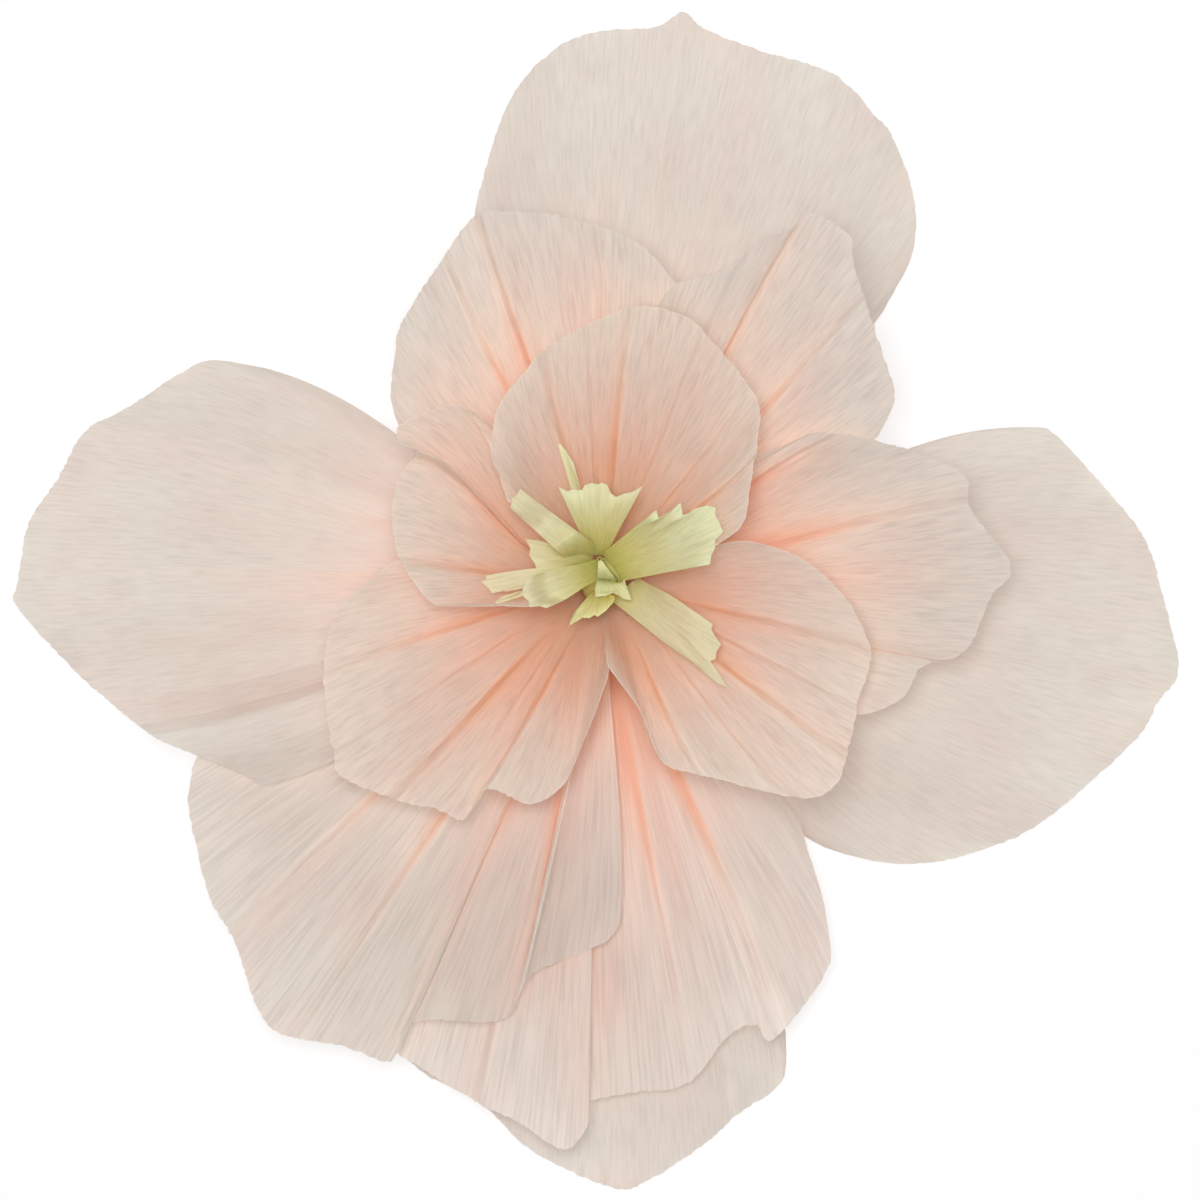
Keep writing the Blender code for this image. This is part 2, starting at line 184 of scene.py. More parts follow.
def paint(red, green, blue):
    """A colour given as it looks on screen, 0 to 255, as the linear one that Blender wants."""
    shown = [c / 255 for c in (red, green, blue)]
    return (*[c / 12.92 if c <= 0.04045 else ((c + 0.055) / 1.055) ** 2.4 for c in shown], 1)


print("shader helpers ready")

# %% [markdown]
# ## The table under the flower
# To the camera the table is mostly plain white, mixed with a share of its own lit colour, which keeps
# a faint shadow and still lets the background read as white.

# %% Pale floor
FLOOR_SIZE = 4.0
FLOOR_SHADOW = 0.3


def floor_finish():
    finish = Finish("white_table")
    lit = finish.node("ShaderNodeBsdfDiffuse", inputs={"Color": paint(255, 255, 255)})
    plain = finish.node("ShaderNodeEmission", inputs={"Color": (1, 1, 1, 1), "Strength": 1.0})
    seen_by_camera = finish.node("ShaderNodeLightPath")
    whitened = seen_by_camera * (1 - FLOOR_SHADOW)
    return finish.close(finish.node("ShaderNodeMixShader", inputs={0: whitened, 1: lit, 2: plain}))


bpy.ops.mesh.primitive_plane_add(size=FLOOR_SIZE)
table = bpy.context.active_object
table.name = "white_table"
table.data.materials.append(floor_finish())
print("floor at z =", table.location.z)

# %% [markdown]
# ## The cut of the petals
# Each petal is known by the outline of its free edge, clockwise from above, in mm from the flower's
# axis. The outlines and slopes are the CAD model's, so that the finished paper lies where the solids
# lie. Its folds are softer than theirs, a few fine ones are added, and the front petal is a little
# wider at its right end. The list runs from the lowest petal to the topmost.

# %% Sizes shared with the solids
PAPER = 0.35
ROLL_R = 4.2
LAYER_PITCH = 0.75
PETAL_COUNT = 13
NECK_TOP = 18.0
BASE_PLATE = 1.2
REST_GAP = 0.3
BEND = 4.0
FLOOR_GAP = 0.4
SHEET_GAP = 2.0
NECK_R = ROLL_R + PETAL_COUNT * LAYER_PITCH
ARC_R = NECK_R + BEND
TAIL_Z = BASE_PLATE + REST_GAP
TAPE_IN = NECK_R + PAPER / 2 + REST_GAP
print("neck radius mm:", NECK_R)

# %% Outlines of the free edges
OUTER_TOP = [
    (-37, 70), (-33, 90), (-31, 100), (-24, 121), (-13, 134), (-1, 139), (13, 140), (20, 144), (25, 140),
    (37, 135), (58, 128), (68, 118), (73, 112), (78, 98), (78, 83), (71, 70), (67, 63), (61, 45)
]
OUTER_RIGHT = [
    (110, 39), (114, 37), (129, 21), (137, 10), (141, -4), (145, -22), (140, -30), (133, -41), (111, -60),
    (100, -66), (87, -70), (73, -71), (56, -67), (48, -62)
]
OUTER_BOTTOM = [
    (46, -114), (45, -126), (34, -134), (25, -142), (11, -151), (3, -153), (-12, -147), (-20, -142),
    (-32, -131), (-44, -125), (-52, -118), (-56, -112)
]
OUTER_LEFT = [
    (-85, -51), (-92, -47), (-112, -39), (-125, -30), (-135, -21), (-148, -6), (-148, -1), (-145, 15),
    (-138, 26), (-131, 38), (-122, 43), (-108, 52), (-99, 56), (-86, 54)
]
FRONT_FAN = [
    (49, -60), (55, -80), (57, -93), (56, -97), (51, -105), (42, -115), (38, -111), (31, -114), (24, -123),
    (18, -127), (8, -128), (-5, -131), (-4, -136), (-9, -142), (-15, -140), (-22, -135), (-31, -131),
    (-52, -118), (-55, -114)
]
LEFT_FAN = [
    (4, -85), (0, -90), (-12, -95), (-18, -98), (-22, -105), (-23, -108), (-29, -110), (-48, -110),
    (-52, -118), (-55, -120), (-66, -116), (-81, -113), (-87, -106), (-92, -91), (-99, -78), (-103, -62),
    (-104, -54), (-102, -44), (-97, -39)
]
UPPER_LEFT = [
    (-51, 39), (-53, 46), (-52, 57), (-50, 65), (-41, 79), (-33, 90), (-26, 92), (-11, 91), (3, 87),
    (11, 82), (18, 74), (24, 68)
]
UPPER_RIGHT = [
    (13, 68), (18, 74), (30, 77), (38, 84), (47, 88), (51, 92), (61, 86), (62, 79), (67, 63), (72, 48),
    (71, 42), (68, 36)
]
MIDDLE_RIGHT = [
    (39, 32), (45, 34), (53, 37), (68, 35), (89, 27), (91, 18), (101, 4), (96, -4), (90, -17), (79, -21),
    (75, -28), (68, -32), (63, -33)
]
INNER_LOWER_LEFT = [
    (1, -24), (-3, -34), (-7, -44), (-11, -51), (-18, -55), (-28, -51), (-32, -54), (-35, -59), (-42, -56),
    (-51, -54), (-65, -48), (-67, -42), (-69, -29), (-69, -19), (-67, -9), (-62, -3), (-52, 5)
]
INNER_LOWER_RIGHT = [
    (35, 10), (44, 8), (51, 4), (59, -3), (64, -12), (66, -19), (63, -29), (61, -39), (58, -49), (53, -53),
    (46, -53), (36, -51), (29, -49), (21, -47), (14, -44), (9, -32), (1, -21)
]
INNER_LEFT = [
    (-18, -6), (-36, -6), (-43, -5), (-50, 5), (-52, 12), (-52, 20), (-50, 27), (-46, 32), (-50, 34),
    (-51, 38), (-43, 42), (-35, 43), (-29, 35), (-24, 20)
]
INNER_TOP = [
    (-27, 29), (-28, 34), (-26, 43), (-21, 50), (-15, 57), (-5, 63), (4, 67), (11, 68), (21, 65), (26, 60),
    (33, 52), (38, 44), (38, 35), (36, 23), (34, 14), (28, 9)
]
print("points on the top petal's edge:", len(OUTER_TOP))

# %% Folds, slopes and shades of every petal
# A fold is (place along the edge 0 to 1, depth mm, width along the edge, side of its drop). It has its
# full depth at the rim, or sooner where "settle" is small. "peach" says how far out the painted shade runs.
# In each set rim is the paper's own colour, and deep is painted warm shade inside the flower and folds.
OUTER_SHADES = dict(rim=(244, 243, 240), body=(250, 245, 241), deep=(255, 235, 225),
                    glow=(255, 252, 250), uneven=0.33, stroke_shade=0.04)
MIDDLE_SHADES = dict(rim=(240, 237, 233), body=(251, 241, 233), deep=(255, 224, 206),
                     glow=(255, 252, 250), uneven=0.7)
# The front petal and the fan take lighter copies of the middle paper: painted light for the light they lose
# low in the stack.
FRONT_LIGHTENED_SHADES = dict(rim=(249, 246, 243), body=(252, 245, 240), deep=(255, 228, 211),
                    glow=(255, 253, 251), stroke=(1300, 50))
FAN_LIGHTENED_SHADES = dict(rim=(243, 240, 236), body=(249, 243, 238), deep=(255, 231, 217),
                  glow=(255, 253, 251), stroke=(1300, 50))
INNER_SHADES = dict(rim=(246, 241, 236), body=(252, 240, 232), deep=(255, 232, 214),
                    glow=(255, 251, 247), uneven=0.8)

PETALS = [
    dict(name="outer_petal_top", edge=OUTER_TOP, tips=[0.19, 0.44], shades=OUTER_SHADES,
         launch=30, tip=-22, height=1.5, spread=0.75, wave=2.6, waves=3.5, phase=0.4,
         folds=[(0.345, 0.8, 0.12, 1), (0.52, 0.6, 0.11, -1), (0.70, 0.8, 0.12, 1)]),
    dict(name="outer_petal_right", edge=OUTER_RIGHT, tips=[0.38, 0.92], shades=OUTER_SHADES,
         launch=31, tip=-20, height=1.5, spread=0.35, wave=2.6, waves=3.2, phase=1.9,
         folds=[(0.21, 0.8, 0.12, 1), (0.46, 0.6, 0.12, -1), (0.70, 0.8, 0.12, 1)]),
    dict(name="outer_petal_bottom", edge=OUTER_BOTTOM, tips=[0.04, 0.46], shades=OUTER_SHADES,
         launch=32, tip=-22, height=1.5, spread=0.5, wave=2.2, waves=2.6, phase=3.1,
         folds=[(0.19, 1.2, 0.10, 1), (0.65, 1.2, 0.10, -1)]),
    dict(name="middle_petal_front", edge=FRONT_FAN, tips=[0.50], shades=FRONT_LIGHTENED_SHADES,
         launch=33, tip=-14, height=19, spread=0.8, wave=1.5, waves=3.0, phase=0.9,
         folds=[(0.30, 4, 0.10, 1), (0.475, 3, 0.075, 1), (0.65, 6, 0.11, -1), (0.835, 5, 0.08, 1)]),
    dict(name="middle_petal_fan", edge=LEFT_FAN, tips=[0.24, 0.62], shades=FAN_LIGHTENED_SHADES,
         launch=34, tip=-10, height=27, spread=0.8, wave=1.6, waves=3.0, phase=2.2,
         folds=[(0.19, 5, 0.09, 1), (0.36, 5, 0.09, -1), (0.53, 4, 0.09, 1), (0.72, 4, 0.10, -1)]),
    dict(name="outer_petal_left", edge=OUTER_LEFT, tips=[0.455], shades=OUTER_SHADES,
         launch=36, tip=-24, height=1.5, spread=0.45, wave=2.6, waves=3.3, phase=5.0,
         folds=[(0.20, 0.6, 0.12, -1), (0.51, 1.1, 0.12, -1), (0.70, 0.6, 0.12, -1)]),
    dict(name="middle_petal_upper_left", edge=UPPER_LEFT, tips=[0.56], shades=MIDDLE_SHADES, peach=1.25,
         launch=40, tip=14, height=49, spread=0.6, wave=1.6, waves=2.4, phase=1.2,
         folds=[(0.36, 3, 0.12, 1), (0.49, 4, 0.08, -1), (0.70, 2.5, 0.12, 1)]),
    dict(name="middle_petal_upper_right", edge=UPPER_RIGHT, tips=[0.43], shades=MIDDLE_SHADES, peach=1.05,
         launch=41, tip=16, height=51, spread=0.6, wave=1.6, waves=2.2, phase=4.2,
         folds=[(0.36, 4, 0.12, 1), (0.68, 3, 0.12, -1)]),
    dict(name="middle_petal_right", edge=MIDDLE_RIGHT, tips=[0.58], shades=MIDDLE_SHADES, peach=1.2,
         launch=42, tip=10, height=49, spread=0.7, wave=1.6, waves=2.4, phase=0.3,
         folds=[(0.13, 3.5, 0.10, 1), (0.45, 3, 0.12, -1), (0.80, 3, 0.10, 1)]),
    dict(name="inner_petal_lower_left", edge=INNER_LOWER_LEFT, tips=[0.4], shades=INNER_SHADES,
         launch=46, tip=26, height=62, spread=0.7, wave=1.0, waves=2.6, phase=2.6, settle=0.45,
         folds=[(0.20, 1.0, 0.05, 1), (0.32, 6, 0.12, 1), (0.43, 1.5, 0.05, 1), (0.53, 5, 0.11, -1),
                (0.65, 1.5, 0.05, -1), (0.76, 3, 0.10, 1)]),
    dict(name="inner_petal_lower_right", edge=INNER_LOWER_RIGHT, tips=[0.6], shades=INNER_SHADES,
         launch=48, tip=28, height=64, spread=0.7, wave=1.0, waves=2.4, phase=5.3, settle=0.45,
         folds=[(0.28, 3, 0.10, 1), (0.38, 1.5, 0.05, 1), (0.48, 5, 0.10, -1), (0.61, 1.5, 0.05, -1),
                (0.74, 4, 0.10, 1), (0.87, 1.5, 0.05, 1)]),
    dict(name="inner_petal_left", edge=INNER_LEFT, tips=[0.65], shades=INNER_SHADES,
         launch=50, tip=34, height=66, spread=0.7, wave=1.0, waves=2.2, phase=3.7, settle=0.5,
         folds=[(0.30, 4, 0.10, 1), (0.565, 5, 0.11, -1)]),
    dict(name="inner_petal_top", edge=INNER_TOP, tips=[0.52], shades=INNER_SHADES,
         launch=52, tip=38, height=69, spread=0.75, wave=1.0, waves=2.5, phase=0.0, settle=0.5,
         folds=[(0.22, 3, 0.10, 1), (0.32, 1.5, 0.05, 1), (0.42, 4, 0.10, -1), (0.56, 1.2, 0.05, -1),
                (0.68, 1.5, 0.06, 1), (0.80, 5, 0.10, 1)]),
]
print("petals:", len(PETALS))

# %% [markdown]
# ## One petal as a formula
# A petal climbs inside the tape, bends out of the neck and runs to its free edge. A place on it is u,
# across the paper from 0 to 1, and a row number: 0 to 1 is the bound tail, 1 to 2 the bend and 2 to 3
# the open sheet. Folds climb slowly to a crest and drop away, as pressed paper does.

# %% Curves and folds
# The four inner petals hardly overlap in the neck, so they all lie close round the stamens.
RINGS = [0, 1, 2, 3, 4, 5, 6, 7, 8, 11, 12, 12, 12]
FOLD_DROP = 0.22
FOLD_EASE = 0.62


def smooth(x):
    x = np.clip(x, 0.0, 1.0)
    return x * x * (3.0 - 2.0 * x)


def run_of(line):
    """How far along a line of flat points each of them lies."""
    return np.r_[0, np.cumsum(np.hypot(*np.diff(line, axis=0).T))]


def edge_curve(points, at):
    """Places at fractions of the length of a rounded curve through the outline points."""
    p = np.array([points[0]] + points + [points[-1]], float)
    t = np.linspace(0, 1, 12, endpoint=False)[:, None]
    runs = []
    for a, b, c, d in zip(p[:-3], p[1:-2], p[2:-1], p[3:]):
        runs.append(b + 0.5 * t * (c - a) + t**2 * (a - 2.5 * b + 2 * c - 0.5 * d)
                    + t**3 * (1.5 * (b - c) + 0.5 * (d - a)))
    curve = np.vstack(runs + [p[-1:]])
    run = run_of(curve)
    at = np.asarray(at) * run[-1]
    return np.c_[np.interp(at, run, curve[:, 0]), np.interp(at, run, curve[:, 1])]


def fold_height(petal, u):
    height = np.zeros_like(u)
    for place, depth, width, side in petal["folds"]:
        x = (u - place) * side
        drop = FOLD_DROP * width
        height += FOLD_EASE * depth * np.where(x < 0, smooth(1 + x / width), 1 - 1.25 * smooth(x / drop))
        height += FOLD_EASE * depth * 0.25 * smooth((x - drop) / width) * (x >= drop)
    return height


def petal_surface(petal, layer, u, rows):
    """Points of the paper's middle surface, as an array of columns by rows by xyz, in mm."""
    edge = edge_curve(petal["edge"], u)
    first, last = edge_curve(petal["edge"], [0, 1])
    start = math.atan2(first[1], first[0])
    sweep = (start - math.atan2(last[1], last[0])) % (2 * math.pi)
    angle = start - sweep * u
    ray = np.c_[np.cos(angle), np.sin(angle)]
    middle = np.array([math.cos(start - sweep / 2), math.sin(start - sweep / 2)])
    grain = petal["spread"] * ray + (1 - petal["spread"]) * middle
    grain /= np.linalg.norm(grain, axis=1)[:, None]

    neck = NECK_R - RINGS[layer] * LAYER_PITCH
    bend = ARC_R - neck
    launch = math.radians(petal["launch"])
    turn = math.pi / 2 - launch
    start_r = ARC_R - bend * math.cos(turn)
    start_z = NECK_TOP + bend * math.sin(turn)
    begin = ray * start_r
    reach = np.linalg.norm(edge - begin, axis=1)
    ripple = np.sin(2 * math.pi * petal["waves"] * u + petal["phase"])
    rim = petal["height"] + petal["wave"] * ripple
    folds = fold_height(petal, u)

    points = np.zeros((len(u), len(rows), 3))
    for j, row in enumerate(rows):
        if row <= 1:
            points[:, j, :2] = ray * neck
            points[:, j, 2] = TAIL_Z + row * (NECK_TOP - TAIL_Z)
        elif row <= 2:
            part = turn * (row - 1)
            points[:, j, :2] = ray * (ARC_R - bend * math.cos(part))
            points[:, j, 2] = NECK_TOP + bend * math.sin(part)
        else:
            t = row - 2
            out = ((1 - t)**3 * begin + 3 * (1 - t)**2 * t * (begin + ray * reach[:, None] / 3)
                   + 3 * (1 - t) * t**2 * (edge - grain * reach[:, None] / 3) + t**3 * edge)
            rise = math.tan(launch) * reach
            fall = math.tan(math.radians(petal["tip"])) * reach
            z = (start_z * (1 + 2 * t) * (1 - t)**2 + rise * t * (1 - t)**2
                 + rim * t * t * (3 - 2 * t) - fall * t * t * (1 - t))
            points[:, j, :2] = out
            points[:, j, 2] = z + folds * smooth((t - 0.05) / petal.get("settle", 0.75))
    return points


test_fold = dict(folds=[(0.5, 3, 0.1, 1)])
print("heights across a 3 mm fold:", fold_height(test_fold, np.array([0.42, 0.5, 0.53])).round(2))

# %% [markdown]
# ## Stacking the sheets
# Each new petal is tested against the sheets already laid. Rays are cast straight down at closely
# spaced places, and where it would touch, it is raised and the lift is shared with its neighbours.
# The coarse pass uses the solids' own grid, so that the lifts are nearly theirs, and a finer pass
# follows for the smoother surfaces of the finished paper.

# %% Rays against the sheets already laid
SKY = 300
DOWN = Vector((0, 0, -1))
CLEAR_ENOUGH = 0.01
SHARINGS = 3
TIP_ROOM = 0.03
FOLD_ROOM = 0.018


def faces_of(columns, rows):
    first = [i * rows + j for i, j in product(range(columns - 1), range(rows - 1))]
    return [(a, a + rows, a + rows + 1, a + 1) for a in first]


class Sheets:
    """The sheets laid so far, as one tree to cast rays at and as closely spaced points."""

    def __init__(self, shares):
        self.shares = shares
        self.corners = []
        self.faces = []
        self.spots = []
        self.tree = None

    def add(self, points, first_row):
        start = len(self.corners)
        self.corners += [tuple(p) for p in points.reshape(-1, 3)]
        self.faces += [tuple(c + start for c in face) for face in faces_of(*points.shape[:2])]
        self.spots += [spot for spot, _ in self.spots_of(points, first_row)]
        self.tree = BVHTree.FromPolygons(self.corners, self.faces)

    def top_at(self, x, y):
        hit = self.tree.ray_cast(Vector((x, y, SKY)), DOWN)[0] if self.tree else None
        return None if hit is None else hit.z

    def spots_of(self, points, first_row):
        """Points spread over each quad from first_row outwards, each with the quad's own place."""
        spots = []
        columns, rows = points.shape[:2]
        for i, j, s, t in product(range(columns - 1), range(first_row, rows - 1), self.shares, self.shares):
            near = points[i, j] * (1 - s) + points[i + 1, j] * s
            far = points[i, j + 1] * (1 - s) + points[i + 1, j + 1] * s
            spots.append((near * (1 - t) + far * t, (i, j)))
        return spots


def needed_lift(points, sheets, keep, first_row):
    """How far each vertex must rise to lie clear of the sheets below it."""
    need = np.zeros(points.shape[:2])

    def note(i, j, low, high):
        short = low + keep[j] - high
        if short > 0:
            need[i:i + 2, j:j + 2] = np.maximum(need[i:i + 2, j:j + 2], short)

    for (x, y, z), (i, j) in sheets.spots_of(points, first_row):
        top = sheets.top_at(x, y)
        if top is not None:
            note(i, j, top, z)
    faces = faces_of(*need.shape)
    own = BVHTree.FromPolygons([tuple(p) for p in points.reshape(-1, 3)], faces)
    for x, y, z in sheets.spots:
        hit, _, index, _ = own.ray_cast(Vector((x, y, SKY)), DOWN)
        if hit is not None:
            i, j = divmod(faces[index][0], need.shape[1])
            if j >= first_row:
                note(i, j, z, hit.z)
    return need


def lift_clear(points, sheets, keep, weight, first_row, passes=5):
    """Raises a sheet where it would touch the ones below, with the lift shared by its neighbours."""
    for _ in range(passes):
        need = needed_lift(points, sheets, keep, first_row)
        if need.max() < CLEAR_ENOUGH:
            break
        for _ in range(SHARINGS):
            wide = np.pad(need, 1, mode="edge")
            near = (wide[:-2, 1:-1] + wide[2:, 1:-1] + wide[1:-1, :-2] + wide[1:-1, 2:]) / 4
            need = np.maximum(need, near)
        points[:, :, 2] += need * weight


def columns_of(petal, even):
    """Even columns, with more at every tip of the outline and at each fold's crest and foot."""
    wanted = list(np.linspace(0, 1, even))
    for tip in petal["tips"]:
        wanted = [w for w in wanted if abs(w - tip) > TIP_ROOM or w in (0, 1)] + [tip]
    for place, depth, width, side in petal["folds"]:
        fixed = [place, place + side * FOLD_DROP * width]
        wanted = [w for w in wanted if min(abs(w - f) for f in fixed) > FOLD_ROOM or w in (0, 1)] + fixed
    return np.array(sorted(wanted))


print("stacking helpers ready")

# %% Coarse stack, on the solids' grid
ROWS = [0, 1, 1.5, 2, 2.14, 2.34, 2.54, 2.74, 2.9, 3]
OPEN_ROW = ROWS.index(2)
EVEN_COLUMNS = 13
FULL_GAP_BY = 0.3
FREE_BY = 0.14


def stacking_rules(rows, gap):
    """The gap to keep at each row, and how freely each row may rise."""
    open_part = np.array(rows) - 2
    return gap * (0.45 + 0.55 * smooth(open_part / FULL_GAP_BY)), smooth(open_part / FREE_BY)


def spread_over(values, u, rows, new_u, new_rows):
    """Values known on one grid of the sheet, read on another."""
    across = np.array([np.interp(new_u, u, values[:, j]) for j in range(len(rows))]).T
    return np.array([np.interp(new_rows, rows, line) for line in across])


coarse = Sheets((0, 0.33, 0.67, 1))
lifts = []
for layer, petal in enumerate(PETALS):
    u = columns_of(petal, EVEN_COLUMNS)
    keep, weight = stacking_rules(ROWS, SHEET_GAP)
    laid = petal_surface(petal, layer, u, ROWS)
    before = laid[:, :, 2].copy()
    lift_clear(laid, coarse, keep, weight, OPEN_ROW)
    laid[:, OPEN_ROW + 1:, 2] = np.maximum(laid[:, OPEN_ROW + 1:, 2], FLOOR_GAP)
    coarse.add(laid, OPEN_ROW)
    lifts.append((u, laid[:, :, 2] - before))
print("greatest lift mm:", round(max(lift.max() for _, lift in lifts), 1))

# %% Finer stack for the finished paper
FINE_ROWS = [0, 0.5, 1, 1.33, 1.67, 2] + [2 + 0.04 * k for k in range(1, 26)]
FINE_COLUMNS = 121
FINE_GAP = 1.4

fine = Sheets((0.5,))
fine_u = np.linspace(0, 1, FINE_COLUMNS)
fine_lifts = []
fine_sheets = []
for layer, petal in enumerate(PETALS):
    u, lift = lifts[layer]
    keep, weight = stacking_rules(FINE_ROWS, FINE_GAP)
    laid = petal_surface(petal, layer, fine_u, FINE_ROWS)
    plain = laid[:, :, 2].copy()
    laid[:, :, 2] += spread_over(lift, u, ROWS, fine_u, FINE_ROWS)
    lift_clear(laid, fine, keep, weight, FINE_ROWS.index(2), passes=3)
    fine.add(laid, FINE_ROWS.index(2))
    fine_lifts.append(laid[:, :, 2] - plain)
    fine_sheets.append(laid)
print("finest lift mm:", round(max(lift.max() for lift in fine_lifts), 1))

# %% [markdown]
# ## How covered a place is
# A petal is painted warmer where it dives below others: this is painted shade, in peach, where other
# petals cover it. Short rays are sent up from every place of the finer stack, and the share that meets
# paper is kept. It is 0 in the open and rises towards 1 under other petals.

# %% Rays towards the sky
# Each pair is the tilt of a ring of rays from straight up, in degrees, and how many rays it has.
SKY_REACH = 40.0
SKY_TILTS = [(0, 1), (35, 5), (62, 6)]
SPOT_RISE = 0.9


def sky_directions():
    ways = []
    for tilt, count in SKY_TILTS:
        for k in range(count):
            around = 2 * math.pi * (k + tilt / 90) / count
            flat = math.sin(math.radians(tilt))
            ways.append(Vector((flat * math.cos(around), flat * math.sin(around),
                                math.cos(math.radians(tilt)))))
    return ways


def covered_share(points, tree):
    """The share of short upward rays that meet paper, from every point of one sheet."""
    ways = sky_directions()
    share = np.zeros(points.shape[:2])
    for i, j in np.ndindex(share.shape):
        spot = Vector(points[i, j]) + Vector((0, 0, SPOT_RISE))
        for way in ways:
            distance = tree.ray_cast(spot, way, SKY_REACH)[3]
            if distance is not None:
                share[i, j] += (1 - distance / SKY_REACH) / len(ways)
    return share


# The share of covered rays sets the painted shade under other petals.
covers = [covered_share(sheet, fine.tree) for sheet in fine_sheets]
print("most covered:", round(max(cover.max() for cover in covers), 2))

# %% [markdown]
# ## Crinkle
# Crepe paper is creased all over by fine ridges that run out from the neck, along its grain. The
# larger ones are real relief on the mesh, made from smooth random values that change quickly across
# the paper and slowly along it. The finest ones are left to the bump of the material.

# %% Random relief along the grain
def lattice_noise(seed, across, along):
    """Smooth random values from -1 to 1 at places given in cells across and along the grain."""
    random = np.random.RandomState(seed)
    table = random.uniform(-1, 1, (int(across.max()) + 3, int(along.max()) + 3))
    i, j = np.floor(across).astype(int), np.floor(along).astype(int)
    s, t = across - i, along - j
    s, t = s * s * (3 - 2 * s), t * t * (3 - 2 * t)
    low = table[i, j] * (1 - s) + table[i + 1, j] * s
    high = table[i, j + 1] * (1 - s) + table[i + 1, j + 1] * s
    return low * (1 - t) + high * t


RIDGE_PITCH = 1.5
CELLS_PER_RIDGE = 1.6
RIDGE_LENGTH = 16.0
RIDGE_HEIGHT = 0.09
SWELL_PITCH = 9.0
SWELL_LENGTH = 45.0
SWELL_HEIGHT = 0.3
SWELL_SEED = 50


def crinkle(seed, across, along, share):
    """Relief in mm at places in mm. share is 0 at the neck and 1 at the free edge."""
    ridges = lattice_noise(seed, across / RIDGE_PITCH * CELLS_PER_RIDGE, along / RIDGE_LENGTH)
    swell = lattice_noise(seed + SWELL_SEED, across / SWELL_PITCH, along / SWELL_LENGTH)
    return (RIDGE_HEIGHT * ridges * (0.35 + 0.65 * share)
            + SWELL_HEIGHT * swell * smooth(share * 1.3))


print("ridges every", RIDGE_PITCH, "mm")

# %% [markdown]
# ## Crepe paper as a material
# Thin crepe lets much of the light through, so the shader mixes a matt surface with a translucent one,
# and "glow" tints what comes through. The colour runs from a pale blush at the rim to warm peach, which
# is painted shade deep in the flower, in its folds and under other petals. The patterns follow the
# paper's grain through its UV map in metres: wide bands and patches where the dye is uneven, and fine
# strokes, which are also the smallest ridges and darken the colour a little as their painted shade.

# %% Petal paper finish
# A pattern's two numbers are its cells per metre across and along the grain.
STROKE = (1450, 125)
BAND = (190, 13)
PATCH = (60, 28)
BAND_SHIFT = 0.26
PATCH_SHIFT = 0.18
PATCH_TINT = (255, 250, 250)
DYE_STOPS = (0.04, 0.45, 1.0)
PAPER_ROUGHNESS = 0.95
PAPER_SPECULAR = 0.2
RIDGE_BUMP = 0.35
RIDGE_DEPTH = 0.0003


def crepe_finish(name, rim, body, deep, glow, through=0.68, stroke=STROKE, uneven=1.0, stroke_shade=0.06):
    finish = Finish(name)
    grain = finish.node("ShaderNodeUVMap", {"uv_map": "grain"})
    depth = finish.node("ShaderNodeAttribute", {"attribute_name": "depth"}, outlet=2)

    def pattern(cells, detail, distortion=0.0):
        at = finish.node("ShaderNodeMapping", inputs={"Vector": grain, "Scale": (*cells, 1)})
        return finish.node("ShaderNodeTexNoise", {"noise_dimensions": "2D"},
                           {"Vector": at, "Scale": 1.0, "Detail": detail, "Distortion": distortion})

    strokes = pattern(stroke, 2.0, 0.3)
    bands = pattern(BAND, 3.0)
    patches = pattern(PATCH, 2.0)
    place = depth + (bands - 0.5) * (BAND_SHIFT * uneven) + (patches - 0.5) * (PATCH_SHIFT * uneven)
    # The ramp runs from rim, the paper's own colour, to deep, which on petals is painted warm shade.
    stops = [(at, paint(*colour)) for at, colour in zip(DYE_STOPS, (rim, body, deep))]
    dyed = finish.node("ShaderNodeValToRGB", {"stops": stops}, {"Fac": place})
    tinted = finish.multiply((patches - 0.35) * 1.6, dyed, paint(*PATCH_TINT))
    # Painted shade of the fine crinkle: the strokes darken the colour a little.
    dark = 255 * (1 - stroke_shade)
    colour = finish.multiply((strokes - 0.4) * 2.2, tinted, paint(dark, dark, dark))
    passed = finish.multiply(1.0, colour, paint(*glow))
    relief = finish.node("ShaderNodeBump", inputs={"Strength": RIDGE_BUMP, "Distance": RIDGE_DEPTH,
                                                   "Height": strokes})
    front = finish.node("ShaderNodeBsdfPrincipled",
                        inputs={"Base Color": colour, "Roughness": PAPER_ROUGHNESS, "Normal": relief,
                                "Specular IOR Level": PAPER_SPECULAR})
    back = finish.node("ShaderNodeBsdfTranslucent", inputs={"Color": passed, "Normal": relief})
    return finish.close(finish.node("ShaderNodeMixShader", inputs={0: through, 1: front, 2: back}))


print("strokes per metre across and along:", STROKE)

# %% [markdown]
# ## Making the petals
# Each petal is a grid with a column about every 0.6 mm of its free edge. Its vertices take their
# places from the formula, the two stacks and the crinkle, and Solidify gives the paper its thickness.
# The UV map holds the distance across and along the grain in metres, and the attribute "depth" says
# how much painted shade a place gets, from lying deep inside the flower, in a fold or under other petals.

# %% Painted shade of a petal
# Shares of painted warm shade: at each fold's foot, on its wall, deep in the flower and under other petals.
FOLD_PAINTED_SHADE = 0.4
WALL_PAINTED_SHADE = 0.35
INSIDE_PAINTED_SHADE = 0.75
COVER_PAINTED_SHADE = 0.6
FULL_FOLD = 4
SIDE_FADE = 12
PEACH_REACH = 0.9


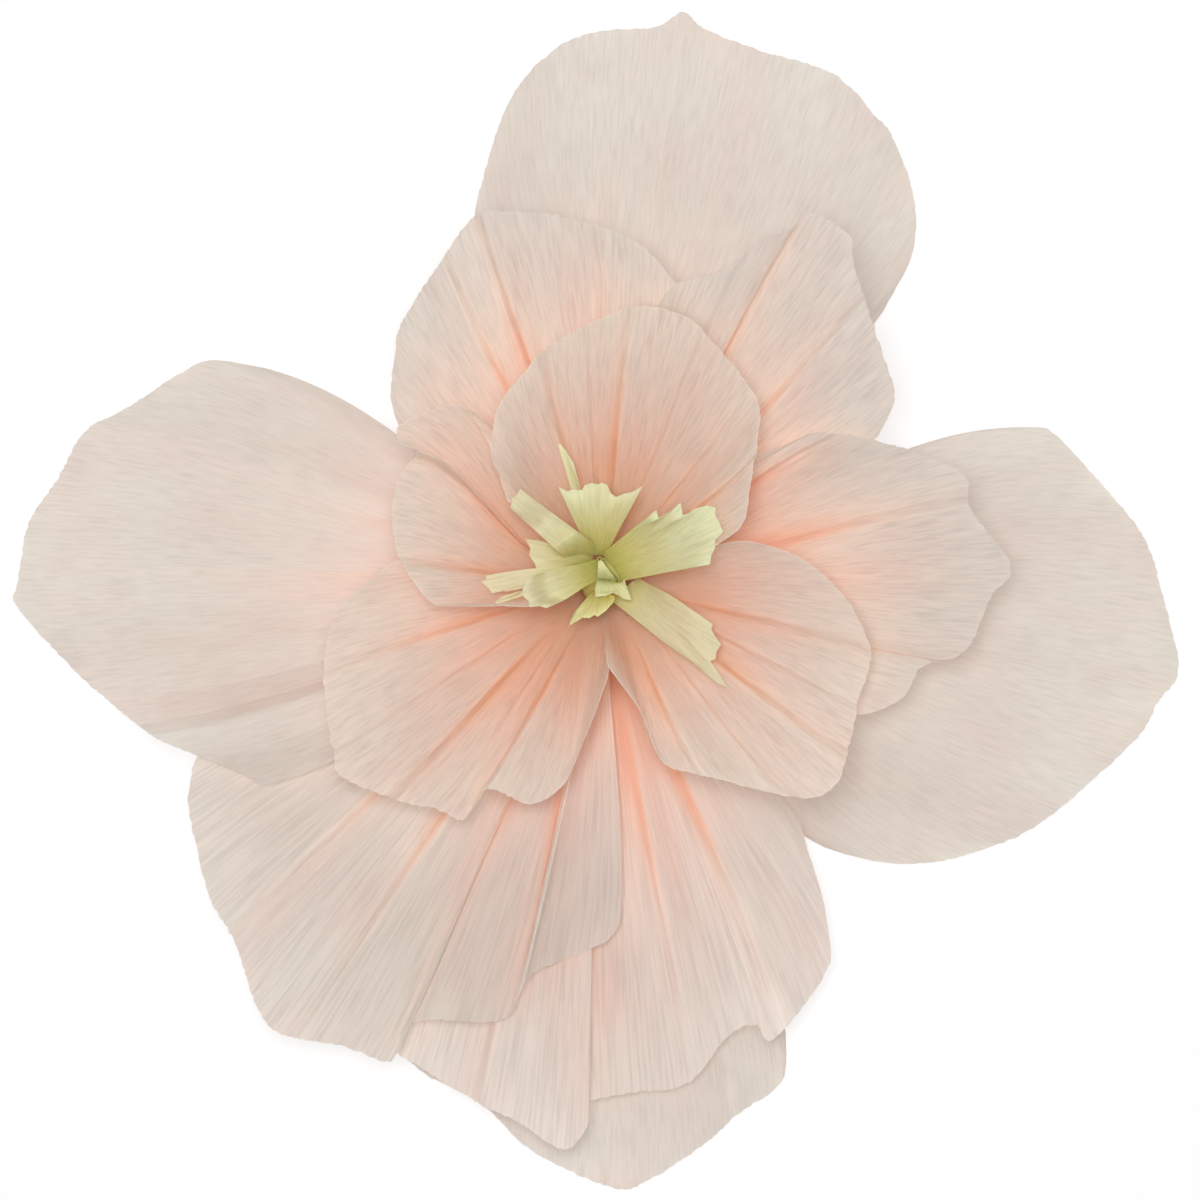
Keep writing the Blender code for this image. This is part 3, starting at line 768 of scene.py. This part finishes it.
def painted_shade(petal, u, t, covered):
    """Painted shade for every column and row: 1 at the neck, in the folds and under other petals, 0 at the
    rim.
    """
    rim_length = np.hypot(*np.diff(edge_curve(petal["edge"], u), axis=0).T).sum()
    from_side = np.minimum(u, 1 - u)[:, None] * rim_length
    # Painted warm shade deep in the flower, weaker near the petal's sides.
    inside = smooth(1 - t / petal.get("peach", PEACH_REACH))[None, :] ** 1.3
    inside = inside * (0.6 + 0.4 * smooth(from_side / SIDE_FADE))
    in_fold = np.zeros((len(u), len(t)))
    # Painted shade at the foot of each fold and on its dropping wall.
    for place, depth, width, side in petal["folds"]:
        away = (u - place) * side
        near = np.where(away < 0, smooth(1 + away / (0.05 * width)), smooth(1.1 - away / (0.9 * width)))
        strength = min(depth / FULL_FOLD, 1)
        wall = np.exp(-((away / (FOLD_DROP * width) - 0.5) / 0.6) ** 2)
        in_fold += near[:, None] * FOLD_PAINTED_SHADE * strength * smooth(1.2 - t)[None, :]
        in_fold += wall[:, None] * WALL_PAINTED_SHADE * strength * smooth(1.15 - t)[None, :]
    # Painted shade under other petals is added from the share of covered rays.
    return np.clip(INSIDE_PAINTED_SHADE * inside + in_fold + COVER_PAINTED_SHADE * covered, 0, 1)


# %% Grid to paper
PAPER_THICK = 0.14
SHARP_CORNER = math.radians(65)


def paper_sheet(name, points, across, along, depth, finish, thickness=PAPER_THICK):
    """A closed sheet of paper through points in mm: a grid primitive moved onto them, then Solidify."""
    columns, rows = points.shape[:2]
    bpy.ops.mesh.primitive_grid_add(x_subdivisions=columns - 1, y_subdivisions=rows - 1, size=2)
    piece = bpy.context.active_object
    mesh = piece.data
    piece.name = mesh.name = name
    place = np.zeros(len(mesh.vertices) * 3)
    mesh.vertices.foreach_get("co", place)
    place = place.reshape(-1, 3)
    i = np.rint((place[:, 0] + 1) / 2 * (columns - 1)).astype(int)
    j = np.rint((place[:, 1] + 1) / 2 * (rows - 1)).astype(int)
    mesh.vertices.foreach_set("co", (points[i, j] * MM).ravel())
    mesh.attributes.new("depth", "FLOAT", "POINT").data.foreach_set("value", depth[i, j])
    corner = np.zeros(len(mesh.loops), int)
    mesh.loops.foreach_get("vertex_index", corner)
    while mesh.uv_layers:
        mesh.uv_layers.remove(mesh.uv_layers[0])
    grain = np.c_[across[i, j], along[i, j]][corner] * MM
    mesh.uv_layers.new(name="grain").data.foreach_set("uv", grain.ravel())
    mesh.materials.append(finish)
    mesh.update()
    solid = piece.modifiers.new("Paper", "SOLIDIFY")
    solid.thickness = thickness * MM
    solid.offset = 0
    bpy.ops.object.modifier_apply(modifier=solid.name)
    bpy.ops.object.shade_smooth_by_angle(angle=SHARP_CORNER)
    return piece


def emboss(points, relief):
    """Moves the points of a sheet out of its surface by the relief."""
    normal = np.cross(np.gradient(points, axis=0), np.gradient(points, axis=1))
    normal = normal / np.maximum(np.linalg.norm(normal, axis=2), 1e-9)[:, :, None]
    points += normal * relief[:, :, None]


def grain_of(points, u, width):
    """Distances across and along the grain, in mm, at every point of a sheet of this width."""
    step = np.linalg.norm(np.diff(points, axis=1), axis=2)
    along = np.c_[np.zeros(len(u)), np.cumsum(step, axis=1)]
    return np.repeat(u[:, None] * width, points.shape[1], axis=1), along


def triangles(piece):
    return sum(len(face.vertices) - 2 for face in piece.data.polygons)


print("paper thickness mm:", PAPER_THICK)

# %% Build every petal
COLUMN_PITCH = 0.6
ROW_PITCH = 2.6
TAIL_ROWS = [0, 0.5, 1, 1.25, 1.5, 1.75]
CRINKLE_START = 1.9
NICK = 0.3
NICK_PITCH = 0.8
NICK_SEED = 300
LOWEST = FLOOR_GAP - 0.1


def petal_grid(petal):
    """Columns and rows of a petal's finished grid, and the length of its free edge."""
    edge = edge_curve(petal["edge"], np.linspace(0, 1, 400))
    rim_length = np.hypot(*np.diff(edge, axis=0).T).sum()
    reach = np.linalg.norm(edge, axis=1).mean()
    rows = np.r_[TAIL_ROWS, np.linspace(2, 3, int(reach / ROW_PITCH) + 2)]
    return np.linspace(0, 1, int(rim_length / COLUMN_PITCH)), rows, rim_length


def cut_size(points):
    """Width, length and area of the flat fan that makes this sheet, in m, before it is crinkled."""
    rim = np.linalg.norm(np.diff(points, axis=0), axis=2).sum(axis=0).max()
    length = np.linalg.norm(np.diff(points, axis=1), axis=2).sum(axis=1).mean()
    width = 2 * length * math.sin(rim / length / 2)
    corner = points[:-1, :-1]
    area = np.linalg.norm(np.cross(points[1:, :-1] - corner, points[:-1, 1:] - corner), axis=2).sum()
    return width * MM, length * MM, area * MM * MM


def crinkle_sheet(points, layer, across, along, rows):
    """Ridges, swells and a torn edge for one sheet, which stays above the table."""
    share = smooth((rows - CRINKLE_START) / 0.6)[None, :] * np.ones((len(points), 1))
    relief = crinkle(layer * 7 + 1, across, along, share) * (rows > CRINKLE_START)[None, :]
    nick = lattice_noise(layer + NICK_SEED, across[:, -1:] / NICK_PITCH, along[:, -1:] * 0)
    outward = points[:, -1] - points[:, -2]
    outward /= np.linalg.norm(outward, axis=1)[:, None]
    emboss(points, relief)
    points[:, -1] += outward * nick * NICK
    free = points[:, len(TAIL_ROWS) - 1:, 2]
    free[:] = np.maximum(free, LOWEST)


def build_petal(layer, petal):
    u, rows, rim_length = petal_grid(petal)
    points = petal_surface(petal, layer, u, rows)
    points[:, :, 2] += spread_over(fine_lifts[layer], fine_u, FINE_ROWS, u, rows)
    width, cut_length, cut_area = cut_size(points)
    across, along = grain_of(points, u, rim_length)
    crinkle_sheet(points, layer, across, along, rows)
    # Painted shade of this petal: deep in the flower, in its folds and under other petals.
    covered = spread_over(covers[layer], fine_u, FINE_ROWS, u, rows)
    depth = painted_shade(petal, u, np.clip(rows - 2, 0, 1), covered)
    finish = crepe_finish(petal["name"] + "_crepe", **petal["shades"])
    piece = paper_sheet(petal["name"] + "_paper", points, across, along, depth, finish)
    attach(piece, "root")
    petal["name"] + "_paper"
    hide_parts(petal["name"])
    print(f"{piece.name}: cut {width / MM:.0f} x {cut_length / MM:.0f} mm, {cut_area * 1e4:.0f} cm2")
    return triangles(piece)


print("petal triangles:", sum(build_petal(layer, petal) for layer, petal in enumerate(PETALS)))

# %% [markdown]
# ## The lime centre
# The stamens are one strip of lime crepe, cut like a coarse comb and rolled up. The roll is pinched
# to a slit at the top, and its tabs splay out over the petals with torn, jagged ends. A tab is drawn
# from its root, on the roll, to the points of its torn end, in mm from the axis. It climbs from the
# height "rise" to "tip", and widens early where "flare" is under 1.

# %% Tabs of the strip, lowest first
LIME_SHADES = dict(rim=(245, 246, 218), body=(244, 245, 202), deep=(247, 244, 166),
                   glow=(252, 255, 246), through=0.45)
# A paler, beiger lime for six of the tabs.
STRAW_SHADES = dict(rim=(243, 238, 210), body=(242, 240, 202), deep=(245, 245, 176),
                    glow=(253, 254, 244), through=0.4)
STRAW_TABS = ("lower_right", "upper_left", "left_upper", "left_middle", "left_sliver", "left_lower")
ROLL_TOP = 36.0
TABS = [
    dict(name="thin_back", root=[(-4.0, 8.8), (-2.2, 9.4)], tip=54, end=[
        (-11.5, 34.2), (-10.6, 34.0), (-9.8, 32.9), (-7.6, 29.6)]),
    dict(name="lower_right", root=[(8.5, 1.2), (1.6, -4.6)], tip=56, flare=0.6, end=[
        (26.9, -10.4), (26.6, -11.6), (27.4, -13.3), (29.0, -15.5), (27.9, -17.2), (27.6, -19.2),
        (26.3, -19.6), (28.0, -22.0), (30.5, -26.1), (28.3, -25.2), (26.4, -22.8), (24.7, -21.7)]),
    dict(name="lower_small", root=[(1.4, -2.4), (-3.0, -2.2)], tip=46, flare=0.8, end=[
        (2.2, -5.2), (0.4, -7.2), (-1.6, -8.7), (-2.4, -8.2), (-3.6, -9.0), (-5.4, -8.9), (-6.8, -9.8),
        (-8.7, -10.8), (-7.6, -8.6)]),
    dict(name="left_upper", root=[(-3.2, 4.4), (-2.6, 6.4)], tip=53, flare=0.9, end=[
        (-16.4, 2.2), (-17.2, 4.6), (-18.6, 6.6), (-18.3, 8.4), (-19.5, 10.6)]),
    dict(name="left_middle", root=[(-2.8, 2.6), (-2.8, 5.2)], tip=55, flare=0.9, end=[
        (-24.3, -2.4), (-25.6, -1.9), (-27.8, -2.8), (-28.6, -1.6), (-30.4, 0.0), (-29.2, 0.5),
        (-29.3, 1.6)]),
    dict(name="left_sliver", root=[(-2.6, 2.0), (-2.8, 3.4)], tip=55, end=[
        (-26.4, -5.5), (-27.0, -5.0), (-25.2, -3.6)]),
    dict(name="left_lower", root=[(-0.8, 0.8), (-1.8, 5.8)], tip=55, flare=0.9, rise=37, end=[
        (-14.2, -6.5), (-16.0, -6.0), (-18.4, -6.3), (-18.7, -4.6), (-19.9, -3.8), (-20.1, -1.8),
        (-18.9, 0.9)]),
    dict(name="crown", root=[(-3.4, 6.6), (0.6, 7.0)], tip=58, rise=37, end=[
        (-11.3, 23.6), (-9.1, 22.4), (-7.6, 23.0), (-6.8, 22.7), (-5.5, 22.7), (-4.8, 23.9), (-3.1, 24.5),
        (-1.4, 24.1), (-0.6, 24.6), (0.8, 24.0), (1.7, 21.9), (3.0, 21.0), (4.9, 21.8), (6.9, 22.2),
        (9.6, 23.8)]),
    dict(name="upper_left", root=[(-8.0, 4.4), (-0.7, 8.0)], tip=57, rise=39, end=[
        (-23.3, 18.4), (-22.6, 19.6), (-22.9, 20.4), (-21.6, 21.4), (-20.8, 23.0)]),
    dict(name="big_right", root=[(-0.5, 7.0), (4.2, 0.2)], tip=59, rise=37, end=[
        (12.9, 17.7), (13.5, 15.7), (15.5, 16.8), (17.1, 17.8), (18.9, 19.5), (19.4, 16.4), (21.2, 17.0),
        (22.8, 18.2), (25.4, 18.8), (27.6, 18.3), (27.4, 16.6), (28.4, 14.6), (29.4, 12.2), (27.4, 10.4),
        (27.4, 8.4), (26.5, 6.6), (26.1, 4.3)]),
    dict(name="centre_lower", root=[(4.2, -0.2), (-1.8, 1.0)], tip=43, flare=0.6, rise=38, depth=0.3, end=[
        (5.4, -0.6), (6.8, -4.5), (5.0, -4.3), (3.8, -3.4), (2.2, -2.6), (0.6, -3.4), (-2.1, -3.7)]),
    dict(name="centre_upper", root=[(3.4, 0.2), (-1.8, 0.7)], tip=44, rise=39, depth=0.3, end=[
        (-0.5, 5.2), (-0.9, 5.5), (-1.4, 5.0)]),
]
print("tabs:", len(TABS))

# %% Shape of a tab
TAB_COLUMN = 0.3
TAB_ROWS = 22
TAB_GAP = 1.0
TAB_SINK = 4.0
TAB_WAVE = 0.3
TAB_TOUCH = 0.05
TAB_RIDGE_PITCH = 0.9
TAB_RIDGE_LENGTH = 9.0
TAB_RIDGE_HEIGHT = 0.07
TAB_SEED = 900
TAB_EASE = 0.3
DEEP_GREEN_R = 24
DEEP_GREEN_Y = 3


def tab_surface(tab, u, rows):
    """Points of a tab from inside the roll to its torn end, in mm."""
    end = np.array(tab["end"], float)
    root = np.array(tab["root"], float)
    ends = np.array([end[0], end[-1]])
    teeth = run_of(end) / run_of(end)[-1]
    torn = np.c_[np.interp(u, teeth, end[:, 0]), np.interp(u, teeth, end[:, 1])]
    even = ends[0] * (1 - u)[:, None] + ends[1] * u[:, None]
    soft = even + (torn - even).mean(0) * np.sin(math.pi * u)[:, None]
    foot = root[0] * (1 - u)[:, None] + root[1] * u[:, None]
    rise = tab.get("rise", ROLL_TOP)
    points = np.zeros((len(u), len(rows), 3))
    for j, t in enumerate(rows):
        far = soft * (1 - smooth((t - 0.5) / 0.5)) + torn * smooth((t - 0.5) / 0.5)
        widen = smooth(t / tab["flare"]) if "flare" in tab else t
        centre = foot.mean(0) * (1 - t) + ends.mean(0) * t
        points[:, j, :2] = centre + (foot - foot.mean(0)) * (1 - widen) + (far - ends.mean(0)) * widen
        climb = rise + (tab["tip"] - rise) * math.sin(t * math.pi / 2)
        points[:, j, 2] = climb - TAB_SINK * (1 - t) ** 6
        points[:, j, 2] += TAB_WAVE * np.cos(5 * u + 5 * t + tab["tip"]) * t
    return points


def tab_columns(tab):
    """Even columns, and one at every point of the torn end."""
    run = run_of(np.array(tab["end"], float))
    even = np.linspace(0, 1, max(6, int(run[-1] / TAB_COLUMN)))
    teeth = run / run[-1]
    even = [e for e in even if np.abs(teeth - e).min() > 0.25 / len(even)]
    return np.array(sorted(even + list(teeth))), run[-1]


def build_tab(number, tab, finish):
    u, width = tab_columns(tab)
    rows = np.linspace(0, 1, TAB_ROWS)
    points = tab_surface(tab, u, rows)
    keep = np.full(len(rows), TAB_GAP)
    for _ in range(4):
        need = needed_lift(points, fine, keep, 2).max(axis=0)
        if need.max() < TAB_TOUCH:
            break
        apart = np.abs(np.subtract.outer(rows, rows))
        shared = (need[None, :] * np.exp(-(apart / TAB_EASE) ** 2)).max(axis=1)
        points[:, :, 2] += shared * smooth(rows / TAB_EASE)
    fine.add(points, 2)
    across, along = grain_of(points, u, width)
    ridges = lattice_noise(number + TAB_SEED, across / TAB_RIDGE_PITCH, along / TAB_RIDGE_LENGTH)
    emboss(points, TAB_RIDGE_HEIGHT * ridges)
    from_axis = np.hypot(points[:, :, 0], points[:, :, 1] - DEEP_GREEN_Y)
    depth = smooth(1 - from_axis / DEEP_GREEN_R) * tab.get("depth", 1)
    return paper_sheet("tab_" + tab["name"], points, across, along, depth, finish)


print("rows of a tab:", TAB_ROWS)

# %% The pinched roll under the tabs
ROLL_TURNS = 6
ROLL_CORE = 0.5
ROLL_PITCH = 0.62
TURN_COLUMNS = 48
ROLL_ROWS = 30
PINCH = 0.2
SHORTENED = 0.3
LOOSENED = 0.5
LOOSENED_BY = 8.0
PINCH_ANGLE = math.radians(-52)
PINCH_CENTRE = (1.2, 2.9)
PINCH_START = 24.0


def build_roll(finish):
    """The rolled strip: a spiral that is round in the tape and pinched to a slit at the top."""
    turn = np.linspace(0, 2 * math.pi * ROLL_TURNS, ROLL_TURNS * TURN_COLUMNS)
    heights = np.linspace(TAIL_Z, ROLL_TOP, ROLL_ROWS)
    radius = ROLL_CORE + ROLL_PITCH * turn / (2 * math.pi)
    points = np.zeros((len(turn), len(heights), 3))
    for j, z in enumerate(heights):
        pinched = float(smooth((z - PINCH_START) / (ROLL_TOP - PINCH_START)))
        loose = 1 + LOOSENED * float(smooth((z - NECK_TOP) / LOOSENED_BY))
        long_way = radius * loose * np.cos(turn) * (1 - SHORTENED * pinched)
        short_way = radius * loose * np.sin(turn) * (1 - (1 - PINCH) * pinched)
        c, s = math.cos(PINCH_ANGLE), math.sin(PINCH_ANGLE)
        points[:, j, 0] = long_way * c - short_way * s + PINCH_CENTRE[0] * pinched
        points[:, j, 1] = long_way * s + short_way * c + PINCH_CENTRE[1] * pinched
        points[:, j, 2] = z
    along = np.repeat(heights[None, :], len(turn), axis=0)
    across = np.repeat(run_of(points[:, 0, :2])[:, None], len(heights), axis=1)
    return paper_sheet("rolled_strip", points, across, along, np.ones_like(along), finish)


print("roll radius mm:", round(ROLL_CORE + ROLL_PITCH * ROLL_TURNS, 1))

# %% Join the strip into one piece
def join(pieces, name):
    bpy.ops.object.select_all(action="DESELECT")
    for piece in pieces:
        piece.select_set(True)
    bpy.context.view_layer.objects.active = pieces[0]
    bpy.ops.object.join()
    joined = bpy.context.active_object
    joined.name = joined.data.name = name
    return joined


lime = crepe_finish("lime_crepe", **LIME_SHADES)
straw = crepe_finish("beige_lime_crepe", **STRAW_SHADES)
strip = [build_roll(lime)]
for number, tab in enumerate(TABS):
    strip.append(build_tab(number, tab, straw if tab["name"] in STRAW_TABS else lime))
stamens = join(strip, "stamen_paper")
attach(stamens, "root")
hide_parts("stamen_fringe")
print("stamen triangles:", triangles(stamens))

# %% [markdown]
# ## Tape and wire
# The neck is bound with wire, which stays as it is in the CAD, and then with stretched green crepe
# tape, wound as on a real stem: one long strip climbs as it turns, and each turn lies half over the
# last. A flat plug of folded tape closes the bottom.

# %% Wound tape
WIRE_R = 0.4
WIRE_TURNS = 3
WIRE_PITCH = 1.2
WIRE_Z = 8.0
TAPE_WALL = 0.9
TAPE_TOP = 16.5
BULGE_REACH = 1.4
BULGE_SLOPE = 0.7
TAPE_SHADES = dict(rim=(196, 205, 160), body=(188, 198, 148), deep=(170, 184, 128), glow=(245, 255, 235))
TAPE_WIDTH = 5.2
TAPE_PITCH = 2.7
TAPE_LIE = 0.45
TAPE_THICK = 0.2
TAPE_SHADE = 0.3
TAPE_RIDGE_LENGTH = 6.0
TAPE_RIDGE_HEIGHT = 0.1
TAPE_SEED = 71
TAPE_COLUMNS = 110
TAPE_ROWS = 12
PLUG_SIDES = 96
PLUG_ROUND = 0.5

low = WIRE_Z - BULGE_REACH
high = WIRE_Z + WIRE_TURNS * WIRE_PITCH + BULGE_REACH
bulge = 2 * WIRE_R + REST_GAP


def tape_core(z):
    """Inner radius of the tape at a height, wider over the wire."""
    return TAPE_IN + np.interp(z, [low, low + BULGE_SLOPE, high - BULGE_SLOPE, high], [0, bulge, bulge, 0])


def build_tape(finish):
    greatest_climb = TAPE_TOP - TAPE_WIDTH - REST_GAP
    turns = greatest_climb / TAPE_PITCH + 1
    angle = np.linspace(0, 2 * math.pi * turns, int(turns * TAPE_COLUMNS))
    share = np.linspace(0, 1, TAPE_ROWS)
    climb = np.maximum(angle / (2 * math.pi) - 0.5, 0) * TAPE_PITCH
    climb = np.minimum(climb, greatest_climb)
    points = np.zeros((len(angle), len(share), 3))
    for j, s in enumerate(share):
        z = REST_GAP + climb + s * TAPE_WIDTH
        radius = tape_core(z) + REST_GAP + TAPE_LIE * (1 - s)
        points[:, j] = np.c_[radius * np.cos(angle), radius * np.sin(angle), z]
    across = np.repeat((angle * NECK_R)[:, None], len(share), axis=1)
    along = np.repeat(share[None, :] * TAPE_WIDTH, len(angle), axis=0)
    emboss(points, TAPE_RIDGE_HEIGHT * lattice_noise(TAPE_SEED, across, along / TAPE_RIDGE_LENGTH))
    shade = np.full_like(along, TAPE_SHADE)
    return paper_sheet("wound_tape", points, across, along, shade, finish, TAPE_THICK)


def build_plug(finish):
    bpy.ops.mesh.primitive_cylinder_add(vertices=PLUG_SIDES, radius=(TAPE_IN + TAPE_WALL) * MM,
                                        depth=BASE_PLATE * MM, location=(0, 0, BASE_PLATE / 2 * MM))
    plug = bpy.context.active_object
    bpy.ops.object.transform_apply(location=True)
    plug.data.uv_layers[0].name = "grain"
    rounded = plug.modifiers.new("Rounded", "BEVEL")
    rounded.width = PLUG_ROUND * MM
    rounded.segments = 3
    bpy.ops.object.modifier_apply(modifier=rounded.name)
    bpy.ops.object.shade_smooth_by_angle()
    plug.data.materials.append(finish)
    return plug


green = crepe_finish("green_tape_crepe", **TAPE_SHADES)
tape = join([build_tape(green), build_plug(green)], "tape_paper")
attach(tape, "root")
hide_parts("tape_wrap")
print("tape triangles:", triangles(tape))

# %% Drawn wire
DRAWING_MARKS = 900.0
STEEL = (176, 174, 168)


def wire_finish():
    finish = Finish("drawn_steel_wire")
    place = finish.node("ShaderNodeTexCoord", outlet=3)
    marks = finish.node("ShaderNodeTexNoise",
                        inputs={"Vector": place, "Scale": DRAWING_MARKS, "Detail": 2.0})
    metal = finish.node("ShaderNodeBsdfPrincipled",
                        inputs={"Base Color": paint(*STEEL), "Metallic": 1.0,
                                "Roughness": marks * 0.2 + 0.28})
    return finish.close(metal)


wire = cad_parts["binding_wire"]
steel = wire_finish()
for slot in wire.material_slots:
    slot.link = "OBJECT"
    slot.material = steel
print("wire slots:", len(wire.material_slots))
